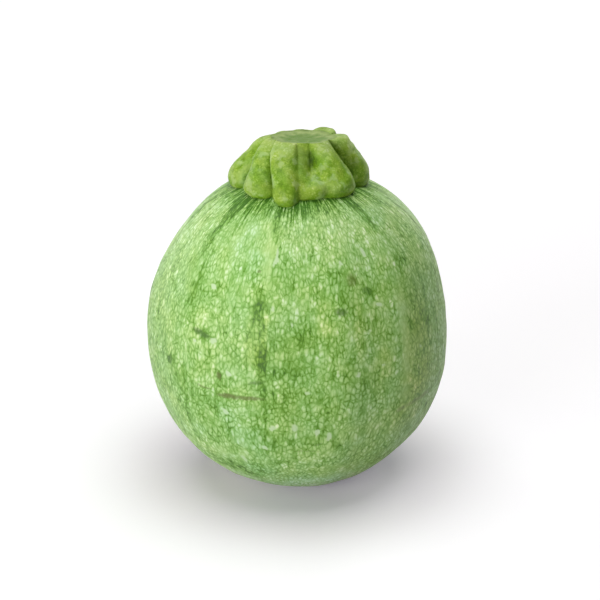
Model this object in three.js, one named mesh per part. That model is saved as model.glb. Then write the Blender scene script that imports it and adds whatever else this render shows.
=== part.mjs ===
// A round zucchini (courgette) as picked: one globe of a fruit and, on its crown, the cut stub of the
// stem that carried it. The stub flares downwards into ridges that end in rounded toes on the fruit.
//
// Millimetres, +Z up. The origin is the centre of the flat patch at the blossom end that the fruit
// stands on. An azimuth is in degrees from the front, which is -Y, round towards +X.
import * as THREE from "three";

// Fruit: two half superellipses of revolution that meet at the widest ring.
const GLOBE_RADIUS = 40.8;
const WIDEST_Z = 40.2; // height of the widest ring above the resting patch
const CROWN_RISE = 45.9; // from the widest ring to the pole of the upper half
const BELLY_DROP = 41.7; // from the widest ring to the pole of the lower half
const CROWN_POWER = 2.39; // of the radius, in the upper half
const ROUND_POWER = 2.085; // of the radius in the lower half, and of the height in both

// The crown swells a little towards +X.
const SWAY = 1.25;
const SWAY_Z = 72.5;
const SWAY_SPREAD = 12.5;

// The crown is dished where the stem grows out of it.
const DISH_DEPTH = 2.5;
const DISH_RADIUS = 9;

// Ten low ribs run from the stem to the blossom end, unevenly spaced.
const RIB_AZIMUTHS = [-46, -14, 17, 45, 78, 115, 152, 190, 232, 274];
const RIB_SHARE = 0.006; // of the local radius

// Stem stub.
const CUT_Z = 96.2;
const CUT_RADIUS = 7.9; // in a groove
const CUT_SLOPE = 0.064; // the cut is higher at the front
const CUT_DISH = 0.8;
const CUT_OFFSET = 1.4; // of the cut's centre from the fruit's axis, towards +X
const BROW_DEPTH = 0.13; // share of the stub's height over which the rim of the cut rounds over
const RIM_SHARE = 0.35; // of a ridge's reach that it already has at the rim of the cut
const GROOVE_FOOT_RADIUS = 14.6; // where a groove meets the fruit
const GROOVE_EVENNESS = 0.35; // share of a groove's spread that comes evenly; the rest comes low down
const GROOVE_LIP = 1.3; // rounding of the lower edge in a groove
const TOE_LIP = 2.6; // rounding of the lower edge at a toe
const SEAT_GAP = 0.35; // between the stem and the fruit under it

// Each ridge of the stub. Azimuths and half widths are in degrees, at the cut and at the foot. The brow
// and the toe are the radii of its crest at the cut and at the foot, and the lift, if any, is how high
// its brow stands above the cut. A late ridge flares near its foot, and a square one has steeper sides.
const RIDGES = [
  { top: -98, foot: -88, topHalf: 13, footHalf: 21, brow: 10.6, toe: 18.9, late: 1.15, square: 2.2 },
  { top: -73, foot: -45, topHalf: 12, footHalf: 20, brow: 10.4, toe: 18.2, late: 1.05, square: 2.4 },
  { top: -36, foot: -12.5, topHalf: 25, footHalf: 14, brow: 9.6, toe: 19.8, late: 0.95, square: 3.8 },
  { top: -12, foot: -2, topHalf: 24, footHalf: 17, brow: 8.3, toe: 16.6, late: 1.7, square: 2 },
  { top: 4, foot: 13, topHalf: 14, footHalf: 20, brow: 7.9, toe: 17.1, late: 4, square: 2.6 },
  { top: 34, foot: 45, topHalf: 22, footHalf: 25, brow: 9.6, toe: 17.8, late: 1, square: 1.9 },
  { top: 86, foot: 94, topHalf: 30, footHalf: 25, brow: 11.4, toe: 18.8, lift: 0.8, late: 1, square: 2.4 },
  { top: 138, foot: 139, topHalf: 25, footHalf: 24, brow: 10.6, toe: 18.4, lift: 1.2, late: 1, square: 2.2 },
  { top: 180, foot: 180, topHalf: 22, footHalf: 22, brow: 9.4, toe: 18.0, late: 1, square: 2.4 },
  { top: 216, foot: 215, topHalf: 20, footHalf: 21, brow: 9.3, toe: 18.6, lift: 0.2, late: 1, square: 2.2 },
  { top: 248, foot: 246, topHalf: 18, footHalf: 19, brow: 9.0, toe: 17.8, late: 1, square: 2.4 },
];
const ROUND_TOE = 2.2; // what every ridge's squareness comes to at its toe
const RIDGE_FULLNESS = 0.7; // the lower, the blunter a ridge's crest
const RIDGE_TURN = 0.8; // below 1, the ridges come round to their toes early
const RIDGE_UNION = 5; // how sharply one ridge meets the next
const FULL_CREST = 1.5; // height above the grooves from which a ridge has its full lip

// Fineness of the meshes.
const FRUIT_COLUMNS = 60;
const FRUIT_ROWS = 26;
const STEM_COLUMNS = 120;
const FLANK_ROWS = 13;
const FLANK_CROWDING = 1.5; // above 1, the rows of the flank crowd towards the cut
const LIP_ROWS = 4;
const TOP_LATITUDE = 86; // of the fruit's highest ring
const INNER_SHARES = [0.35, 0.7]; // of the radius, for the rings of the cut and of the seat

const { degToRad, lerp, euclideanModulo } = THREE.MathUtils;

// The signed difference between two azimuths, from -180 to 180 degrees.
function azimuthBetween(from, to) {
  return euclideanModulo(to - from + 180, 360) - 180;
}

// A point from its distance to the axis, its azimuth and its height. The axis sways with height.
function place(radius, azimuth, z, offset = 0) {
  const a = degToRad(azimuth);
  const sway = SWAY * Math.exp(-(((z - SWAY_Z) / SWAY_SPREAD) ** 2));
  return new THREE.Vector3(radius * Math.sin(a) + sway + offset, -radius * Math.cos(a), z);
}

// 1 on a rib and -1 midway between two.
function ribWave(azimuth) {
  for (let i = 0; i < RIB_AZIMUTHS.length; i++) {
    const start = RIB_AZIMUTHS[i];
    const end = RIB_AZIMUTHS[(i + 1) % RIB_AZIMUTHS.length];
    const span = euclideanModulo(end - start, 360);
    const along = euclideanModulo(azimuth - start, 360);
    if (along < span) return Math.cos((2 * Math.PI * along) / span);
  }
  return 0;
}

function ribFactor(azimuth) {
  return 1 + RIB_SHARE * ribWave(azimuth);
}

// How far the dished crown lies below the plain superellipse, at a distance from the axis.
function dish(radius) {
  return DISH_DEPTH * Math.exp(-((radius / DISH_RADIUS) ** 2));
}

// Height of the fruit's upper half at a distance from its axis.
function crownHeight(radius, azimuth) {
  const share = radius / ribFactor(azimuth) / GLOBE_RADIUS;
  const rise = (1 - share ** CROWN_POWER) ** (1 / ROUND_POWER);
  return WIDEST_Z + CROWN_RISE * rise - dish(radius);
}

// A closed mesh from rings of points. Each end is a single point on the axis, and the rings run from
// the top one down.
function closedRings(top, rings, bottom) {
  const columns = rings[0].length;
  const points = [top, ...rings.flat(), bottom];
  const last = points.length - 1;
  const at = (row, column) => 1 + row * columns + (column % columns);
  const faces = [];
  for (let c = 0; c < columns; c++) {
    faces.push(0, at(0, c), at(0, c + 1));
    for (let r = 0; r + 1 < rings.length; r++) {
      faces.push(at(r, c), at(r + 1, c), at(r + 1, c + 1));
      faces.push(at(r, c), at(r + 1, c + 1), at(r, c + 1));
    }
    faces.push(last, at(rings.length - 1, c + 1), at(rings.length - 1, c));
  }
  const geometry = new THREE.BufferGeometry().setFromPoints(points);
  geometry.setIndex(faces);
  geometry.computeVertexNormals();
  return geometry;
}

function azimuths(columns) {
  return Array.from({ length: columns }, (_, i) => (i * 360) / columns);
}

function fruitGeometry() {
  const lowest = -Math.asin((WIDEST_Z / BELLY_DROP) ** (ROUND_POWER / 2));
  const highest = degToRad(TOP_LATITUDE);
  const rings = [];
  for (let row = 0; row <= FRUIT_ROWS; row++) {
    const latitude = lerp(highest, lowest, row / FRUIT_ROWS);
    const upper = latitude > 0;
    const power = upper ? CROWN_POWER : ROUND_POWER;
    const radius = GLOBE_RADIUS * Math.cos(latitude) ** (2 / power);
    const rise = Math.abs(Math.sin(latitude)) ** (2 / ROUND_POWER);
    const plain = WIDEST_Z + (upper ? CROWN_RISE : -BELLY_DROP) * rise;
    const z = row === FRUIT_ROWS ? 0 : plain - (upper ? dish(radius) : 0);
    rings.push(azimuths(FRUIT_COLUMNS).map((a) => place(radius * ribFactor(a), a, z)));
  }
  return closedRings(place(0, 0, crownHeight(0, 0)), rings, place(0, 0, 0));
}

// The stem's surface at an azimuth and a share of the way down: its radius, how much of a crest it is
// (0 in a groove) and how far it lifts the rim.
function stemSection(azimuth, down) {
  const groove = lerp(CUT_RADIUS, GROOVE_FOOT_RADIUS, lerp(down ** 2, down, GROOVE_EVENNESS));
  const flare = Math.sin((Math.PI / 2) * down);
  const turn = flare ** RIDGE_TURN;
  let rise = 0;
  let crest = 0;
  let lift = 0;
  for (const ridge of RIDGES) {
    const half = lerp(ridge.topHalf, ridge.footHalf, turn);
    const middle = lerp(ridge.top, ridge.foot, turn);
    const across = Math.abs(azimuthBetween(middle, azimuth)) / half;
    if (across >= 1) continue;
    const profile = (1 - across ** lerp(ridge.square, ROUND_TOE, down ** 2)) ** RIDGE_FULLNESS;
    const reach = lerp(ridge.brow, ridge.toe, flare ** ridge.late);
    const height = Math.max(reach - groove, 0);
    rise += (height * profile) ** RIDGE_UNION;
    crest = Math.max(crest, profile * Math.min(height / FULL_CREST, 1));
    lift = Math.max(lift, (ridge.lift ?? 0) * profile);
  }
  return { radius: groove + rise ** (1 / RIDGE_UNION), crest, lift };
}

// The stem's flank at an azimuth, from the rim of the cut (0) down to the widest part of its foot (1).
function flankPoint(azimuth, down) {
  const { radius, lift } = stemSection(azimuth, down);
  const foot = stemSection(azimuth, 1);
  const lip = lerp(GROOVE_LIP, TOE_LIP, foot.crest);
  const rimZ = CUT_Z + CUT_SLOPE * CUT_RADIUS * Math.cos(degToRad(azimuth));
  const footZ = crownHeight(foot.radius, azimuth) + SEAT_GAP + lip;
  const brow = Math.min(down / BROW_DEPTH, 1);
  const out = Math.sqrt(1 - (1 - brow) ** 2);
  return {
    radius: lerp(CUT_RADIUS, radius, lerp(RIM_SHARE, 1, out)),
    z: lerp(rimZ, footZ, down) + lift * Math.sin(Math.PI * brow),
    offset: CUT_OFFSET * (1 - down),
  };
}

// The rounded lower edge, from the widest part of the foot (0) in under the stem (1).
function lipPoint(azimuth, round) {
  const foot = flankPoint(azimuth, 1);
  const lip = lerp(GROOVE_LIP, TOE_LIP, stemSection(azimuth, 1).crest);
  const turn = (Math.PI / 2) * round;
  const radius = foot.radius - lip * (1 - Math.cos(turn));
  const seat = crownHeight(radius, azimuth) + SEAT_GAP;
  return { radius, z: Math.max(foot.z - lip * Math.sin(turn), seat), offset: 0 };
}

function stemGeometry() {
  const ring = (pointAt) =>
    azimuths(STEM_COLUMNS).map((a) => {
      const { radius, z, offset } = pointAt(a);
      return place(radius, a, z, offset);
    });
  const cutRing = (share) =>
    ring((a) => {
      const rim = flankPoint(a, 0);
      const z = lerp(CUT_Z, rim.z, share) - CUT_DISH * (1 - share ** 2);
      return { radius: rim.radius * share, z, offset: CUT_OFFSET };
    });
  const seatRing = (share) =>
    ring((a) => {
      const radius = lipPoint(a, 1).radius * share;
      return { radius, z: crownHeight(radius, a) + SEAT_GAP, offset: 0 };
    });
  const rings = INNER_SHARES.map(cutRing);
  for (let i = 0; i <= FLANK_ROWS; i++)
    rings.push(ring((a) => flankPoint(a, (i / FLANK_ROWS) ** FLANK_CROWDING)));
  for (let i = 1; i <= LIP_ROWS; i++)
    rings.push(ring((a) => lipPoint(a, i / LIP_ROWS)));
  rings.push(...INNER_SHARES.toReversed().map(seatRing));
  const top = place(0, 0, CUT_Z - CUT_DISH, CUT_OFFSET);
  const bottom = place(0, 0, crownHeight(0, 0) + SEAT_GAP);
  return closedRings(top, rings, bottom);
}

function fruit() {
  const skin = new THREE.MeshStandardMaterial({ color: 0x9cc46e, roughness: 0.45, metalness: 0 });
  const mesh = new THREE.Mesh(fruitGeometry(), skin);
  mesh.name = "fruit";
  return mesh;
}

function stem() {
  const rind = new THREE.MeshStandardMaterial({ color: 0x8fb544, roughness: 0.55, metalness: 0 });
  const mesh = new THREE.Mesh(stemGeometry(), rind);
  mesh.name = "stem";
  return mesh;
}

const zucchini = new THREE.Group();
zucchini.add(fruit(), stem());

export default zucchini;
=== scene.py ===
"""A round zucchini on a pale floor: the finished skin and stem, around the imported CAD."""

import math

import bpy
import numpy as np
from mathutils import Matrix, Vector


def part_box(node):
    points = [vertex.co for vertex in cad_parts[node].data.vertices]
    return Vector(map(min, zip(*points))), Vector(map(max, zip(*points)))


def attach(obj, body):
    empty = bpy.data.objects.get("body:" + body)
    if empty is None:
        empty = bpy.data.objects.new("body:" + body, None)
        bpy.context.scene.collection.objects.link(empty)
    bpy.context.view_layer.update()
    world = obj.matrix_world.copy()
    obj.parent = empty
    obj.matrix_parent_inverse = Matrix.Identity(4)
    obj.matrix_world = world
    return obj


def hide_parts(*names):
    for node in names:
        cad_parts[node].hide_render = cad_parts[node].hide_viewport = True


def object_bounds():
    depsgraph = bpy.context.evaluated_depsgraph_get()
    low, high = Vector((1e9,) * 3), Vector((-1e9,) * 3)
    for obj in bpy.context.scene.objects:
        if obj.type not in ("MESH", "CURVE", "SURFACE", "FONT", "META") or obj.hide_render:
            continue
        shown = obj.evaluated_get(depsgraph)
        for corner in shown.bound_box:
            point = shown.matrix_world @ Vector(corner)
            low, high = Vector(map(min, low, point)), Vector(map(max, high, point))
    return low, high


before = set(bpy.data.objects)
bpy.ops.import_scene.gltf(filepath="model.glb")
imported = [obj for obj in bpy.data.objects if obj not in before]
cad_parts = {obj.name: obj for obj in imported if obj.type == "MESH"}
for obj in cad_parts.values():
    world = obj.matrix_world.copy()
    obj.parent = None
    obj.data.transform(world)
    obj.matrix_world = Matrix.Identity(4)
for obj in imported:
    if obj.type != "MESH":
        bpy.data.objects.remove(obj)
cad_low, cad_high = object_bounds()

# Shapes are worked out in millimetres, and angles in degrees. An azimuth is 0 at the front, which is
# -Y, and grows towards +X. A latitude is 0 at the fruit's widest ring and 90 at its crown.
MM = 0.001

# The fruit, as in the CAD: two half superellipses that meet at the widest ring.
GLOBE_RADIUS = 40.8
WIDEST_Z = 40.2  # height of the widest ring above the resting patch
CROWN_RISE = 45.9  # from the widest ring to the pole of the upper half
BELLY_DROP = 41.7  # from the widest ring to the pole of the lower half
CROWN_POWER = 2.39  # of the radius, in the upper half
ROUND_POWER = 2.085  # of the radius in the lower half, and of the height in both
# The crown leans a little towards +X.
SWAY = 1.25
SWAY_Z = 72.5
SWAY_SPREAD = 12.5
# The shallow dish in the crown, under the stem.
DISH_DEPTH = 2.5
DISH_RADIUS = 9.0
RIB_AZIMUTHS = (-46, -14, 17, 45, 78, 115, 152, 190, 232, 274)
RIB_SHARE = 0.006  # of the local radius

# What the finished fruit has besides: low lumps, a pressed underside and the blossom's scar in it.
FRUIT_LUMPS = ((0.10, 14.0, 3), (0.05, 4.0, 4))  # each kind's height, size and random seed
LUMPS_END = (60, 72)  # the latitudes between which they fade away
REST_ROUNDING = 0.25  # of the edge of the patch that the fruit stands on
SCAR_RADIUS = 5.0
SCAR_DEPTH = 0.8
SCAR_FLOOR = 0.35  # share of its radius over which it is deepest

# The stem stub, as in the CAD.
CUT_Z = 96.2
CUT_RADIUS = 7.9  # in a groove
CUT_SLOPE = 0.064  # the cut is higher at the front
CUT_DISH = 0.8
CUT_OFFSET = 1.4  # of the cut's centre from the fruit's axis, towards +X
BROW_DEPTH = 0.13  # share of the stub's height over which the rim of the cut rounds over
RIM_SHARE = 0.35  # of a ridge's reach that it already has at the rim of the cut
GROOVE_FOOT_RADIUS = 14.6  # where a groove meets the fruit
GROOVE_EVENNESS = 0.35  # share of a groove's spread that comes evenly; the rest comes low down
GROOVE_LIP = 1.3  # rounding of the lower edge in a groove
TOE_LIP = 2.6  # rounding of the lower edge at a toe
# Each ridge has its azimuth and half width at the top and at the foot, then how far its brow and its
# toe reach, how high its brow lifts, how late it comes forward, and how square it is across.
# top, foot, top half width, foot half width, brow, toe, lift, late, square
RIDGES = (
    (-98, -88, 13, 21, 10.6, 18.9, 0.0, 1.15, 2.2),
    (-73, -45, 12, 20, 10.4, 18.2, 0.0, 1.05, 2.4),
    (-36, -12.5, 25, 14, 9.6, 19.8, 0.0, 0.95, 3.8),
    (-12, -2, 24, 17, 8.3, 16.6, 0.0, 1.7, 2.0),
    (4, 13, 14, 20, 7.9, 17.1, 0.0, 4.0, 2.6),
    (34, 45, 22, 25, 9.6, 17.8, 0.0, 1, 1.9),
    (86, 94, 30, 25, 11.4, 18.8, 0.8, 1, 2.4),
    (138, 139, 25, 24, 10.6, 18.4, 1.2, 1, 2.2),
    (180, 180, 22, 22, 9.4, 18.0, 0.0, 1, 2.4),
    (216, 215, 20, 21, 9.3, 18.6, 0.2, 1, 2.2),
    (248, 246, 18, 19, 9.0, 17.8, 0.0, 1, 2.4),
)
ROUND_TOE = 2.2  # what every ridge's squareness comes to at its toe
RIDGE_FULLNESS = 0.7  # the lower, the blunter a ridge's crest
RIDGE_TURN = 0.8  # below 1, the ridges come round to their toes early
RIDGE_UNION = 5  # how sharply one ridge meets the next
FULL_CREST = 1.5  # height above the grooves from which a ridge has its full lip

# What the finished stem has besides: knobbles, and a foot that closes on the skin.
STEM_LUMPS = ((0.20, 4.0, 5), (0.09, 1.7, 6), (0.03, 0.8, 7))  # as for the fruit
STEM_HEART_Z = 84.0  # the knobbles push away from the axis at this height
CUT_KNOBBLING = 0.7  # share of their height that the knobbles have on the cut
FULL_KNOBBLING = 0.1  # share of the way down from which they have all of it
SINK = 0.1  # how far the stem sits into the skin, so that no light shows between them

# How finely the two surfaces are divided.
FRUIT_COLUMNS = 448
FRUIT_ROWS = 220
TOP_LATITUDE = 88.0
BOTTOM_LATITUDE = -89.3
STEM_COLUMNS = 480
CUT_RINGS = 30
INNERMOST_CUT = 0.04  # share of the rim's radius at the first ring of the cut
OUTERMOST_CUT = 0.98
FLANK_ROWS = 90
FLANK_CROWDING = 1.4  # above 1, the rows of the flank crowd towards the cut
LIP_ROWS = 16
SEAT_SHARES = (0.75, 0.5, 0.25)  # of the foot's radius, for the rings under the stem


# ---------------------------------------------------------------- shapes

def smoothstep(low, high, value):
    share = np.clip((value - low) / (high - low), 0, 1)
    return share * share * (3 - 2 * share)


def lumps(points, size, seed, waves=24):
    """A smooth random field, about -1 to 1, with hills about that size across."""
    random = np.random.default_rng(seed)
    directions = random.normal(size=(waves, 3))
    directions /= np.linalg.norm(directions, axis=1)[:, None]
    lengths = size * random.uniform(1.2, 2.8, waves)
    phases = random.uniform(0, 2 * np.pi, waves)
    total = np.zeros(len(points))
    for direction, length, phase in zip(directions, lengths, phases):
        total += np.sin(points @ direction * (2 * np.pi / length) + phase)
    return total / math.sqrt(waves)


def swelling(points, kinds):
    """How far the lumps of those kinds stand out at each point."""
    return sum(height * lumps(points, size, seed) for height, size, seed in kinds)


def pushed(points, heart, distance):
    """The points, each moved that distance away from the heart."""
    outward = points - np.array(heart)
    outward /= np.linalg.norm(outward, axis=1)[:, None]
    return points + outward * distance[:, None]


def sway(z):
    return SWAY * np.exp(-(((z - SWAY_Z) / SWAY_SPREAD) ** 2))


def dish(radius):
    return DISH_DEPTH * np.exp(-((radius / DISH_RADIUS) ** 2))


def rib_factor(azimuth):
    """What the ribs multiply the radius by: most on a rib, and least midway between two."""
    wave = np.zeros_like(azimuth)
    for i, start in enumerate(RIB_AZIMUTHS):
        end = RIB_AZIMUTHS[(i + 1) % len(RIB_AZIMUTHS)]
        span = (end - start) % 360
        along = (azimuth - start) % 360
        wave = np.where(along < span, np.cos(2 * np.pi * along / span), wave)
    return 1 + RIB_SHARE * wave


def crown_height(radius, azimuth):
    share = radius / rib_factor(azimuth) / GLOBE_RADIUS
    return WIDEST_Z + CROWN_RISE * (1 - share**CROWN_POWER) ** (1 / ROUND_POWER) - dish(radius)


def place(radius, azimuth, z, offset=0.0):
    a = np.radians(azimuth)
    x = radius * np.sin(a) + sway(z) + offset
    return np.stack([x, -radius * np.cos(a), z + 0 * a], axis=-1)


def azimuths(columns):
    return np.arange(columns) * 360.0 / columns


def angle_between(azimuth, middle):
    """From -180 to 180, and positive where the azimuth is to the right of the middle."""
    return (azimuth - middle + 180) % 360 - 180


def ring_mesh(name, top, rings, bottom):
    """A closed, smooth-shaded object from rings of points in millimetres, top one first."""
    columns = len(rings[0])
    points = np.concatenate([[top], *rings, [bottom]]) * MM
    last = len(points) - 1

    def at(row, column):
        return 1 + row * columns + column % columns

    faces = []
    for c in range(columns):
        faces.append((0, at(0, c), at(0, c + 1)))
        for r in range(len(rings) - 1):
            faces.append((at(r, c), at(r + 1, c), at(r + 1, c + 1), at(r, c + 1)))
        faces.append((last, at(len(rings) - 1, c + 1), at(len(rings) - 1, c)))
    mesh = bpy.data.meshes.new(name)
    mesh.from_pydata(points.tolist(), [], faces)
    mesh.shade_smooth()
    made = bpy.data.objects.new(name, mesh)
    bpy.context.scene.collection.objects.link(made)
    return made


def write_attribute(made, name, values):
    attribute = made.data.attributes.new(name, "FLOAT", "POINT")
    attribute.data.foreach_set("value", np.asarray(values, np.float32))


# ---------------------------------------------------------------- marks

# The skin's marks are soft ovals. Each has the azimuth and latitude of its middle, its half width and
# half length in millimetres, its tilt to the left and its strength.
DARK_MARKS = (
    # streaks along the ribs at the front
    (-52, 52, 1.4, 10, 0, 1.2),
    (-49.5, 58, 1.4, 6, 0, 1.3),
    (-47.5, 30, 1.0, 8, -5, 0.6),
    (-46, -3, 0.9, 4, 0, 1.0),
    (-46, -16, 1.6, 3, 0, 0.6),
    (-15, 57, 1.3, 5, 0, 1.3),
    (-11.5, 42, 1.2, 10, 0, 0.4),
    (-18, 24, 1.2, 3.0, -8, 1.1),
    (-15.0, 24, 1.3, 7, 12, 1.2),
    (-13.8, 23, 1.5, 6, 4, 0.9),
    (-16.5, 21, 2.8, 4, 0, 0.7),
    (-14.2, 17, 1.1, 4.5, 5, 0.9),
    (-13.0, 10, 1.2, 8, 3, 1.1),
    (-9, 7, 1.4, 5, 0, 0.4),
    (-12, -1, 0.8, 4, 0, 0.6),
    (-12, -9, 0.5, 7, 0, 0.7),
    (-17, -36, 1.2, 4, 0, 0.5),
    (12.5, 5, 1.4, 8, 0, 0.4),
    (11, -8, 0.5, 7, 0, 0.7),
    (45, 57, 1.5, 6, 0, 1.1),
    (48, 37, 1.2, 9, 0, 0.5),
    (54, 34, 1.0, 11, 0, 0.5),
    (60, 22, 1.0, 13, 0, 0.6),
    # streaks along the ribs at the sides and the back
    (-84, 50, 0.9, 9, 0, 1.1),
    (-86, 20, 0.8, 12, 0, 0.8),
    (-127, 52, 1.0, 8, 0, 1.2),
    (-129, 24, 0.8, 12, 3, 0.9),
    (-168, 50, 1.0, 9, 0, 1.1),
    (-171, 18, 0.9, 11, -3, 0.9),
    (152, 53, 1.0, 7, 0, 1.2),
    (149, 26, 0.8, 12, 3, 0.9),
    (115, 50, 1.0, 9, 0, 1.1),
    (117, 14, 1.0, 12, 0, 0.9),
    (84, 48, 0.9, 8, 0, 1.0),
    (81, 10, 0.8, 14, -3, 0.8),
    # areas a little darker than the rest
    (-19, 60, 3.5, 3.0, 0, 0.45),
    (6, 61, 2.0, 2.5, 0, 0.4),
    (-7, 28, 3.0, 1.6, 0, 0.35),
    (-30, 18, 6.0, 5, 0, 0.2),
    (-3, 13, 8.0, 9, 0, 0.34),
    (2, -4, 8.0, 6, 0, 0.26),
    (-29, -4, 3.0, 3, 0, 0.3),
    (54, 16, 5.0, 16, 0, 0.34),
    (-35, -38, 6.0, 2.5, 0, 0.95),
    (-26, -43, 5.0, 2.5, 0, 0.75),
    (-105, 10, 7.0, 12, 0, 0.3),
    (-150, -12, 8.0, 9, 0, 0.3),
    (172, 22, 8.0, 9, 0, 0.3),
    (130, 5, 7.0, 12, 0, 0.3),
    (98, -20, 7.0, 9, 0, 0.3),
    # small blotches and scratches
    (-43, 15.5, 1.2, 0.4, 0, 0.7),
    (-30, 3, 1.0, 1.4, 0, 0.9),
    (-55, 2.7, 1.6, 1.7, 0, 1.2),
    (23, 35, 0.8, 6, 55, 0.5),
    (29, 31.3, 2.2, 1.4, -10, 0.9),
    (61, 46, 2.0, 1.3, 0, 0.9),
    (-98, 28, 2.2, 0.5, 8, 1.2),
    (-140, 14, 1.4, 0.8, 0, 1.3),
    (-158, 34, 1.0, 0.7, 0, 1.2),
    (163, 6, 2.6, 0.6, -6, 1.3),
    (138, 30, 1.2, 0.8, 0, 1.3),
    (102, 22, 1.6, 0.6, 10, 1.2),
)
PALE_MARKS = (
    # smooth bands beside the ribs
    (-16.5, 45, 1.6, 11, 10, 1.0),
    (-17.0, 9, 1.0, 8, 0, 0.6),
    (44, 12, 1.8, 20, 0, 0.9),
    (-45, 6, 0.6, 3.5, 0, 1.0),
    (-90, 30, 1.8, 16, 0, 0.8),
    (-123, 34, 1.6, 14, 4, 0.8),
    (-164, 32, 1.7, 15, 0, 0.8),
    (156, 26, 1.7, 18, -3, 0.8),
    (111, 28, 1.7, 17, 0, 0.8),
    (86, 24, 1.5, 16, 0, 0.7),
    # areas a little paler than the rest
    (-36, 50, 6.0, 9, 0, 0.5),
    (-24, 52, 2.0, 9, 0, 0.5),
    (23, 47, 2.5, 4, 0, 0.5),
    (-51, 36, 2.5, 5, 0, 0.4),
    (-52, 32, 2.5, 7, 0, 0.35),
    (-27, 32, 3.0, 5, 0, 0.4),
    (45, 28, 4.0, 8, 0, 0.25),
    (-17, -7, 3.0, 2.5, 0, 0.35),
    (-33, -14, 2.5, 3, 0, 0.45),
    (-21, -22, 2.5, 7, 0, 0.45),
    (-27, -27, 7.0, 5.0, 0, 0.4),
    (20, -38, 8.0, 5, 0, 0.5),
)
# Streaks and broad areas that are yellower, or bluer.
YELLOW_MARKS = (
    (-17, 20, 2.4, 8, 0, 0.6),
    (-13.5, 15, 1.8, 9, 0, 1.0),
    (52, 7, 7.0, 17, 0, 0.9),
    (49, -12, 7.0, 8, 0, 0.6),
    (-40, 17, 8.0, 6, 0, 0.25),
    (10, 24, 3.0, 5, 0, 0.5),
    (24, 18, 2.0, 8, 0, 0.6),
    (34, 6, 4.0, 4, 0, 0.6),
    (-100, 10, 7.0, 15, 0, 0.7),
    (150, 8, 8.0, 14, 0, 0.7),
    (-160, 20, 4.0, 9, 0, 0.6),
    (105, 15, 4.0, 12, 0, 0.5),
)
BLUE_MARKS = (
    (-28, 42, 5.0, 9, 0, 0.8),
    (-8, 42, 3.0, 6, 0, 0.7),
    (50, 55, 5.0, 4, 0, 0.6),
    (-26, -19, 12.0, 10, 0, 0.6),
    # This row and the next lie low on the fruit, where bluer is painted light: the floor's whitish
    # bounce.
    (-16, -35, 7.0, 10, 0, 0.7),
    (0, -50, 16.0, 9, 0, 0.8),
    (-120, 40, 8.0, 8, 0, 0.4),
    (175, 42, 8.0, 8, 0, 0.4),
    (110, 42, 7.0, 8, 0, 0.4),
    # Painted light too: the floor's whitish bounce on the underside.
    (120, -45, 16.0, 9, 0, 0.6),
    (-120, -45, 16.0, 9, 0, 0.6),
)
# Small, nearly white spots.
WHITE_MARKS = (
    (-12.3, 43.7, 0.5, 2.6, 0, 0.9),
    (-38.5, 31, 1.0, 0.6, 0, 0.9),
    (-33, 14.5, 1.0, 0.8, 0, 1.0),
    (-41.5, 13, 0.8, 0.5, 0, 0.8),
    (-26, 4.5, 0.9, 0.6, 0, 1.0),
    (-27.5, -9.5, 1.2, 0.8, 0, 0.9),
    (-10, 27, 0.6, 0.9, 0, 0.7),
    (-2.5, 22, 0.6, 0.6, 0, 0.7),
    (-9, -13.5, 0.7, 0.9, 0, 0.7),
    (-1, -13, 0.7, 1.1, 0, 0.6),
    (7, -15, 0.7, 0.8, 0, 0.8),
    (12, -17, 0.8, 1.3, 0, 0.9),
    (4, -0.5, 1.2, 0.4, 0, 0.7),
    (-13, -22, 0.8, 1.0, 0, 0.7),
    (23, 4.5, 0.9, 0.6, 0, 0.9),
    (34, 7, 0.8, 0.5, 0, 0.6),
    (33, 26, 1.4, 0.6, -20, 0.7),
    (28, 18, 0.6, 0.6, 0, 0.5),
    (31, 44, 0.9, 0.9, 0, 0.6),
    (18, 41, 0.6, 0.8, 0, 0.6),
    (-24, -30, 1.0, 1.3, 0, 0.5),
    (53, 8, 0.8, 0.5, 0, 0.6),
)
MARKS = {
    "dark": DARK_MARKS,
    "pale": PALE_MARKS,
    "white": WHITE_MARKS,
    "yellow": YELLOW_MARKS,
    "blue": BLUE_MARKS,
}

# Finer marks, which the material draws itself: thin brown scars, and dark nicks.
BROWN_MARKS = (
    (-26, -3.5, 3.8, 0.65, 3, 1.0),
    (-18, -2.8, 5.0, 0.6, 3, 0.9),
    (-36, -2.0, 3.0, 0.25, -6, 0.6),
    (-30, 3, 0.8, 1.2, 0, 0.9),
    (23.5, 35, 1.6, 1.6, 0, 0.6),
    (54, -11.5, 7.5, 0.9, 0, 0.5),
    (43, -12, 2.0, 0.8, 0, 0.5),
    (-17, 38.5, 0.6, 0.4, 0, 0.8),
    (-112, -6, 4.5, 0.4, 5, 0.8),
    (176, 30, 1.5, 1.2, 0, 0.6),
    (125, -16, 5.0, 0.4, -8, 0.8),
    (90, 36, 0.8, 0.6, 0, 0.8),
    (4, -23.5, 3.6, 0.16, 0, 0.6),
)
NICKS = (
    (-38.7, 15.6, 3.4, 0.85, -8, 0.85),
    (17, 25.4, 1.8, 1.0, -4, 0.85),
    (29.5, 31.0, 1.5, 0.9, -15, 0.55),
    (-14.8, 2.8, 2.4, 0.55, 12, 0.6),
    (-55, 2.5, 1.3, 1.3, 0, 0.5),
    (8, -20.5, 1.2, 0.4, 20, 0.45),
)

MARK_CORE = 0.4  # share of a mark's half size within which it is at full strength
MARK_EDGE = 1.3  # share at which it has faded away
FINE_MARK_EDGE = 1.25
# The edges of the marks stray by about this much, in hills of this size.
MARK_WOBBLE = 0.35
WOBBLE_SIZE = 1.6
WOBBLE_SEEDS = (11, 12, 13)
DEGREE = math.radians(1) * GLOBE_RADIUS  # the length of a degree of the widest ring


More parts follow.
